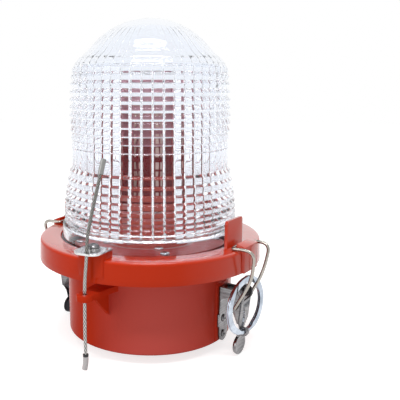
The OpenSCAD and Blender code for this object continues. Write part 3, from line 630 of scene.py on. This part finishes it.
def high_crest(z):
    if z > SHOULDER_Z:
        return SHOULDER_C[0] + math.sqrt(SHOULDER_R ** 2 - (z - SHOULDER_Z) ** 2)
    return BELT_R + BULGE * math.sin(math.pi * (z - BELT_TOP) / (SHOULDER_Z - BELT_TOP))


def low_level(i):
    """The top of a low ring, counted down from the belt."""
    return BELT_Z - i * LOW_PITCH + LOW_STEP * i * (i - 1) / 2


def arc(centre, radius, start, end, steps):
    angles = np.linspace(start, end, steps + 1)
    return [(centre[0] + radius * math.cos(a), centre[1] + radius * math.sin(a)) for a in angles]


def circles_meet(a, ra, b, rb):
    """The upper point where two circles meet."""
    a, b = Vector(a), Vector(b)
    gap = (b - a).length
    along = (gap ** 2 + ra ** 2 - rb ** 2) / (2 * gap)
    across = math.sqrt(ra ** 2 - along ** 2)
    unit = (b - a) / gap
    normal = Vector((-unit.y, unit.x))
    return max((a + along * unit + side * across * normal for side in (-1, 1)), key=lambda p: p.y)


def dome_arcs(shoulder_r, ball_r, start_z, steps):
    """Points of the shoulder and the dome, from a height on the shoulder up to the top."""
    meet = circles_meet(SHOULDER_C, shoulder_r, DOME_C, ball_r)
    start = math.asin((start_z - SHOULDER_Z) / shoulder_r)
    turn = math.atan2(meet.y - SHOULDER_Z, meet.x - SHOULDER_C[0])
    rise = math.atan2(meet.y - DOME_C[1], meet.x)
    before = arc(SHOULDER_C, shoulder_r, start, turn, steps)
    after = arc(DOME_C, ball_r, rise, math.pi / 2, 2 * steps)[:-1]
    near = [p for p in before if math.dist(p, meet) > VALLEY_REACH]
    far = [p for p in after if math.dist(p, meet) > VALLEY_REACH]
    valley = rounded(np.array(near[-1]), np.array(meet), np.array(far[0]), VALLEY_STEPS)
    return near + [tuple(p) for p in valley[1:-1]] + far


def bead(foot, top, crest, depth, flank, upward):
    """One prism ring: a short steep flank on one side of its crest and a long curved slope on the other."""
    cuts = [(flank * t, 1 - t) for t in FLANK_CUTS]
    cuts += [(flank + (1 - flank) * t, t ** SLOPE_POWER) for t in SLOPE_CUTS]
    if not upward:
        cuts = [(1 - t, drop) for t, drop in reversed(cuts)]
    levels = [foot + (top - foot) * t for t, drop in cuts]
    return [(crest(z) - depth * drop, z) for z, (t, drop) in zip(levels, cuts)]


def flange_and_band():
    return [(FLANGE_R - EDGE, LENS_Z), (FLANGE_R, LENS_Z + EDGE),
            (FLANGE_R, FLANGE_TOP - EDGE), (FLANGE_R - EDGE, FLANGE_TOP),
            (BAND_R, FLANGE_TOP), (BAND_R, BAND_TOP - BAND_ROUND), (BAND_R - EDGE, BAND_TOP)]


def belt():
    middle = (BELT_Z + BELT_TOP) / 2
    return [(BELT_R, BELT_Z + BELT_EDGE), (BELT_R + BELT_SWELL, middle), (BELT_R, BELT_TOP - BELT_EDGE)]


def lens_outside():
    """Outer profile from the flange's underside up to the dome."""
    profile = flange_and_band()
    for i in reversed(range(LOW_RINGS)):
        depth = RING_DEPTH + RING_GROWTH * i
        profile += bead(low_level(i + 1), low_level(i), low_crest, depth, LOW_FLANK, False)
    profile += belt()
    for i in range(UP_RINGS):
        foot = BELT_TOP + i * UP_PITCH
        depth = (RING_DEPTH + RING_GROWTH * i) * RING_KEEP[i]
        flank = UP_FLANK + UP_FLANK_GROWTH * i
        profile += bead(foot, foot + UP_PITCH, high_crest, depth, flank, True)
    return profile + dome_arcs(SHOULDER_R, DOME_BALL, RINGS_TOP + DOME_GAP, OUTER_STEPS)


def lens_inside():
    """Inner profile from the foot up, each point with the depth of the flutes there."""
    profile = [(FOOT_IN, LENS_Z, 0), (FOOT_IN, FLUTE_FOOT_Z - FOOT_ROUND[1], 0),
               (FOOT_IN - FOOT_ROUND[0], FLUTE_FOOT_Z, 0)]
    for t in np.linspace(0, 1, FLUTE_LEVELS):
        radius = FLUTE_FOOT_R + (FLUTE_TOP_R - FLUTE_FOOT_R) * t
        level = FLUTE_FOOT_Z + (FLUTE_TOP_Z - FLUTE_FOOT_Z) * t
        profile.append((radius, level, FLUTE_DEPTH * min(1, t / FLUTE_START)))
    for r, z in dome_arcs(SHOULDER_R - GLASS_WALL, DOME_BALL - GLASS_WALL, INNER_DOME_Z, INNER_STEPS):
        fade = clamp((r - SMOOTH_TOP_R) / SMOOTH_FADE)
        profile.append((r, z, DOME_FLUTE * FLUTE_DEPTH * fade))
    return profile


def add_lens():
    """Turns the profile round, down the fluted inside from the dome and up the outside to it again."""
    around = FLUTES * len(FLUTE_CUTS)
    cuts = [(FLUTE_TURN + 2 * math.pi * (i + (s + 1) / 2) / FLUTES, 1 - abs(s) ** FLUTE_POWER)
            for i in range(FLUTES) for s in FLUTE_CUTS]
    rings = []
    for r, z, depth in reversed(lens_inside()):
        rings.append([(r - depth * share, z, a) for a, share in cuts])
    for r, z in lens_outside():
        rings.append([(r, z, a) for a, share in cuts])
    points = [(r * math.cos(a) * MM, r * math.sin(a) * MM, z * MM) for ring in rings for r, z, a in ring]
    faces = tube_faces(len(rings), around)
    inner_top, last = len(points), (len(rings) - 1) * around
    outer_top = inner_top + 1
    points += [(0, 0, (DOME_TOP - GLASS_WALL) * MM), (0, 0, DOME_TOP * MM)]
    for k in range(around):
        following = (k + 1) % around
        faces.append((inner_top, following, k))
        faces.append((outer_top, last + k, last + following))
    mesh = mesh_from("beacon_lens", points, faces)
    new_piece("beacon_lens", mesh, "lens", LENS_SHARP)


add_lens()


# Castings and sheet pieces: the CAD shape with its edges broken

EDGE_WIDTHS = {"base_housing": 0.7, "lens_collar": 0.8, "right_latch_plate": 0.35, "left_latch_plate": 0.35,
               "tether_plate": 0.4, "tether_washer": 0.3, "tether_screw": 0.35,
               "right_latch_rivets": 0.3, "left_latch_rivets": 0.3}
EDGE_ANGLE = math.radians(28)
EDGE_SEGMENTS = 2
FLAT_ANGLE = math.radians(0.6)
WELD = 0.001 * MM
DRESSED_SHARP = 40


def dressed(node, width, extra=None):
    """Adds a node's own shape with its edges rounded, and perhaps another mesh, as its piece."""
    shape = bmesh.new()
    shape.from_mesh(frame["nodes"][node].data)
    bmesh.ops.remove_doubles(shape, verts=shape.verts, dist=WELD)
    bmesh.ops.dissolve_limit(shape, angle_limit=FLAT_ANGLE, verts=shape.verts, edges=shape.edges)
    edges = [e for e in shape.edges if len(e.link_faces) == 2 and e.calc_face_angle(0) > EDGE_ANGLE]
    bmesh.ops.bevel(shape, geom=edges, offset=width * MM, segments=EDGE_SEGMENTS, profile=0.5,
                    affect="EDGES", clamp_overlap=True)
    bmesh.ops.triangulate(shape, faces=[f for f in shape.faces if len(f.verts) > 4])
    if extra:
        shape.from_mesh(extra)
    mesh = bpy.data.meshes.new(node + "_dressed")
    shape.to_mesh(mesh)
    shape.free()
    new_piece(node + "_dressed", mesh, node, DRESSED_SHARP)


for node_name, width in EDGE_WIDTHS.items():
    dressed(node_name, width)


# Levers with a dished thumb piece

LEFT_TURN = math.radians(185)
LEVER_EDGE = 0.4
PADDLE_FACE = 84.2
PADDLE_Z = 8.4
PADDLE_ACROSS = 9.1
PADDLE_UP = 7.7
PADDLE_SIDES = 48
DISH_MIDDLE = 0.1
DISH = ((0.3, 0.14), (0.55, 0.32), (0.75, 0.62), (0.88, 0.86), (0.95, 0.92),
        (1, 0.7), (1, -0.2), (0.94, -1.75))  # share of the oval, and height over its face


def paddle(turn):
    """A shallow oval spoon, from its middle out over the rim and down behind it."""
    points = [(PADDLE_FACE + DISH_MIDDLE, 0, PADDLE_Z)]
    for share, height in DISH:
        for k in range(PADDLE_SIDES):
            a = 2 * math.pi * k / PADDLE_SIDES
            points.append((PADDLE_FACE + height, PADDLE_ACROSS * share * math.cos(a),
                           PADDLE_Z + PADDLE_UP * share * math.sin(a)))
    faces = [(0, 1 + k, 1 + (k + 1) % PADDLE_SIDES) for k in range(PADDLE_SIDES)]
    faces += [(1 + a, 1 + d, 1 + c, 1 + b) for a, b, c, d in tube_faces(len(DISH), PADDLE_SIDES)]
    back = 1 + (len(DISH) - 1) * PADDLE_SIDES
    faces.append(tuple(reversed(range(back, back + PADDLE_SIDES))))
    mesh = mesh_from("paddle", [Vector(p) * MM for p in points], faces)
    mesh.transform(Matrix.Rotation(turn, 4, "Z"))
    return mesh


dressed("right_lever", LEVER_EDGE, paddle(0))
dressed("left_lever", LEVER_EDGE, paddle(LEFT_TURN))


# Bails; places are out from the axis and up, in millimetres

WIRE_R = 1.25
WIRE_SIDES = 20
WIRE_SHARP = 60
BAIL_PIN = (83.5, 40)
BAIL_KNEE = (97.5, 66)
BAIL_ELBOW = (100.5, 88.7)
BAIL_BAR = (82.5, 88.7)
LEVER_IN = 6.9
LEG_Y = 9.85
LEG_TOP_Y = 14.35
PIN_BEND = 1.6
KNEE_BEND = 11
ELBOW_BEND = 8
BAR_BEND = 2.5
TIGHT_STEPS = 6
WIDE_STEPS = 10


def bent(before, corner, after, length, steps):
    """Points of a smooth bend that starts a given length before a corner and ends as far past it."""
    start = corner + length * MM * (before - corner).normalized()
    end = corner + length * MM * (after - corner).normalized()
    return rounded(start, corner, end, steps)


def bail_leg(side):
    """Half of a bail, from its pin in the lever up to the middle of its bar."""
    def spot(place, y):
        return Vector((place[0], side * y, place[1])) * MM

    pin, turn = spot(BAIL_PIN, LEVER_IN), spot(BAIL_PIN, LEG_Y)
    knee, elbow = spot(BAIL_KNEE, LEG_Y), spot(BAIL_ELBOW, LEG_TOP_Y)
    corner, middle = spot(BAIL_BAR, LEG_TOP_Y), spot(BAIL_BAR, 0)
    return [pin, *bent(pin, turn, knee, PIN_BEND, TIGHT_STEPS),
            *bent(turn, knee, elbow, KNEE_BEND, WIDE_STEPS),
            *bent(knee, elbow, corner, ELBOW_BEND, WIDE_STEPS),
            *bent(elbow, corner, middle, BAR_BEND, TIGHT_STEPS)]


def add_bail(node, turn):
    path = bail_leg(-1) + bail_leg(1)[::-1]
    mesh = sweep(node, path, lambda run, angle: WIRE_R * MM, WIRE_SIDES)
    mesh.transform(Matrix.Rotation(turn, 4, "Z"))
    new_piece(node + "_wire", mesh, node, WIRE_SHARP)


add_bail("right_bail", 0)
add_bail("left_bail", LEFT_TURN)


# Safety ring: two flat turns of spring wire side by side, in millimetres

RING_MID = (88.3, 0, 41.2)
RING_R = 21
RING_TURN = math.radians(-9.5)
RING_STEPS = 160
RING_SHARP = 40
COIL_W = 1.7
COIL_H = 4.9
COIL_EYE_H = 2.8
COIL_SIDES = 12
COIL_POWER = 0.55
CROSSING = 0.4  # the share of a turn, each way, over which the wire goes from one coil to the other
EYE_FROM = 0.86  # cosine of the angle from the lever's eye, near which the wire is slimmer
EYE_FADE = 0.08


def flattened(value):
    """A sine or cosine pushed outwards, which makes a round section nearly square."""
    return math.copysign(abs(value) ** COIL_POWER, value)


def add_ring():
    points = []
    for i in range(2 * RING_STEPS + 1):
        angle = 2 * math.pi * i / RING_STEPS
        offset = COIL_W / 2 * clamp((i / RING_STEPS - 1) / CROSSING, -1)
        near_eye = clamp((-math.cos(angle) - EYE_FROM) / EYE_FADE)
        height = COIL_H + (COIL_EYE_H - COIL_H) * near_eye
        for k in range(COIL_SIDES):
            a = 2 * math.pi * k / COIL_SIDES
            across = offset + COIL_W / 2 * flattened(math.sin(a))
            radius = RING_R + height / 2 * flattened(math.cos(a))
            points.append(Vector((across, radius * math.sin(angle), radius * math.cos(angle))) * MM)
    mesh = mesh_from("split_ring", points, capped_tube_faces(2 * RING_STEPS + 1, COIL_SIDES))
    mesh.transform(Matrix.Rotation(RING_TURN, 4, "Z"))
    mesh.transform(Matrix.Translation(Vector(RING_MID) * MM))
    new_piece("split_ring", mesh, "safety_ring", RING_SHARP)


add_ring()


# Stage and light

WHITE = (1, 1, 1, 1)
WORLD_LIGHT = 0.45
WORLD_SEEN = 1.0
FLOOR_R = 3.0
FLOOR_SIDES = 64
FLOOR_GREY = (0.6, 0.6, 0.6, 1)
FLOOR_GLOW = 0.74
LAMP_AIM = (0, 0, 0.12)
GLASS_BOUNCES = 40
GLOSSY_BOUNCES = 14


def seen_factor(tree):
    """1 for camera, glossy and transmission rays, which see the white background."""
    path = tree.nodes.new("ShaderNodeLightPath")
    total = path.outputs["Is Camera Ray"]
    for name in ("Is Glossy Ray", "Is Transmission Ray"):
        larger = tree.nodes.new("ShaderNodeMath")
        larger.operation = "MAXIMUM"
        tree.links.new(total, larger.inputs[0])
        tree.links.new(path.outputs[name], larger.inputs[1])
        total = larger.outputs[0]
    return total


def add_world():
    world = bpy.data.worlds.new("studio")
    scene.world = world
    world.use_nodes = True
    tree = world.node_tree
    light = tree.nodes["Background"]
    seen = tree.nodes.new("ShaderNodeBackground")
    for background, strength in ((light, WORLD_LIGHT), (seen, WORLD_SEEN)):
        background.inputs["Color"].default_value = WHITE
        background.inputs["Strength"].default_value = strength
    mix = tree.nodes.new("ShaderNodeMixShader")
    tree.links.new(seen_factor(tree), mix.inputs["Fac"])
    tree.links.new(light.outputs[0], mix.inputs[1])
    tree.links.new(seen.outputs[0], mix.inputs[2])
    tree.links.new(mix.outputs[0], tree.nodes["World Output"].inputs["Surface"])


def floor_material():
    """Matt grey that catches the shadow, with a glow for the rays that see the background."""
    s = Shader("floor")
    s.set(base_color=FLOOR_GREY, roughness=0.9, specular_ior_level=0.0, emission_color=WHITE)
    s.to("Emission Strength", s.times(seen_factor(s.tree), FLOOR_GLOW))
    return s.material


def add_floor():
    mesh = bpy.data.meshes.new("floor")
    shape = bmesh.new()
    bmesh.ops.create_circle(shape, cap_ends=True, segments=FLOOR_SIDES, radius=FLOOR_R)
    shape.to_mesh(mesh)
    shape.free()
    mesh.materials.append(floor_material())
    floor = bpy.data.objects.new("floor", mesh)
    scene.collection.objects.link(floor)


def add_lamp(name, place, size, watts):
    data = bpy.data.lights.new(name, "AREA")
    data.shape = "RECTANGLE"
    data.size, data.size_y = size
    data.energy = watts
    lamp = bpy.data.objects.new(name, data)
    lamp.location = place
    lamp.rotation_euler = (Vector(LAMP_AIM) - Vector(place)).to_track_quat("-Z", "Y").to_euler()
    scene.collection.objects.link(lamp)


add_world()
add_floor()
add_lamp("key", place=(0.29, -0.43, 0.98), size=(0.6, 0.11), watts=4.2)
add_lamp("top", place=(0.03, -0.05, 1.25), size=(0.6, 0.12), watts=3.2)
add_lamp("fill", place=(-0.5, -1.1, 0.6), size=(0.7, 0.9), watts=3.2)

# The prism rings and flutes bend a ray many times before it leaves the lens
scene.cycles.max_bounces = GLASS_BOUNCES
scene.cycles.transmission_bounces = GLASS_BOUNCES
scene.cycles.glossy_bounces = GLOSSY_BOUNCES
